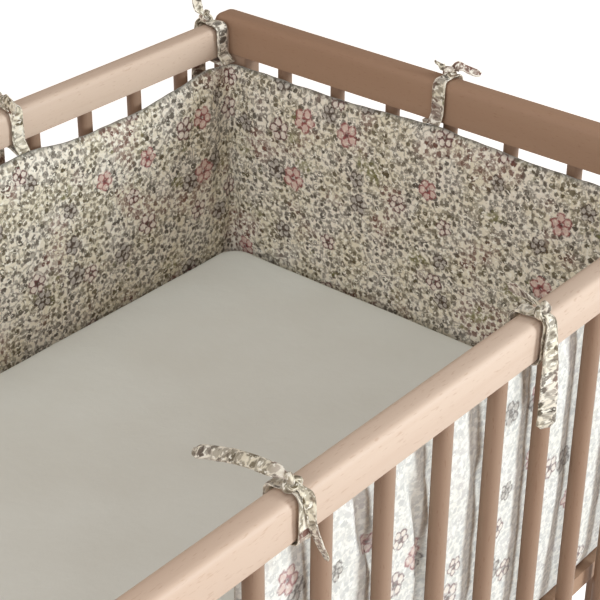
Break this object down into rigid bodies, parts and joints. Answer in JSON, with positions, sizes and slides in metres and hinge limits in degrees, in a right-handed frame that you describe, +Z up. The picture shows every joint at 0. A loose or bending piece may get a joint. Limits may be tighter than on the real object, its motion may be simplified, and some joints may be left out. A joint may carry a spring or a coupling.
{
  "type": "crib bumper on a crib",
  "caption": "Padded floral cloth bumper, bent round the head end of a wooden crib and tied over its rails, with the crib and its mattress.",
  "frame": {"origin": "middle of the crib's footprint, on the floor", "axes": "+Z up, +X to the head end, which the bumper goes round, +Y to the far side"},
  "size_m": [1.2958, 0.6788, 0.913],
  "materials": {
    "print": "fine cotton with a small floral print, matte",
    "tape": "the same printed cotton, folded to narrow tapes",
    "sheet": "plain off-white cotton sheet, matte",
    "wood": "pale beech, satin",
    "base_wood": "pale plywood, matte"
  },
  "bodies": {
    "root": {"bumper": "print", "far_bar_01": "wood", "far_bar_02": "wood", "far_bar_03": "wood", "far_bar_04": "wood", "far_bar_05": "wood", "far_bar_06": "wood", "far_bar_07": "wood", "far_bar_08": "wood", "far_bar_09": "wood", "far_bar_10": "wood", "far_bar_11": "wood", "far_bar_12": "wood", "far_bar_13": "wood", "far_bar_14": "wood", "far_bar_15": "wood", "far_bar_16": "wood", "far_lower_rail": "wood", "far_top_rail": "wood", "foot_far_post": "wood", "foot_grille": "wood", "foot_near_post": "wood", "foot_top_rail": "wood", "head_far_post": "wood", "head_grille": "wood", "head_near_post": "wood", "head_top_rail": "wood", "mattress": "sheet", "mattress_base": "base_wood", "near_bar_01": "wood", "near_bar_02": "wood", "near_bar_03": "wood", "near_bar_04": "wood", "near_bar_05": "wood", "near_bar_06": "wood", "near_bar_07": "wood", "near_bar_08": "wood", "near_bar_09": "wood", "near_bar_10": "wood", "near_bar_11": "wood", "near_bar_12": "wood", "near_bar_13": "wood", "near_bar_14": "wood", "near_bar_15": "wood", "near_bar_16": "wood", "near_lower_rail": "wood", "near_top_rail": "wood", "tie_far_corner": "tape", "tie_far_end": "tape", "tie_far_middle": "tape", "tie_head": "tape", "tie_near_corner": "tape", "tie_near_end": "tape", "tie_near_middle": "tape"}
  },
  "joints": []
}
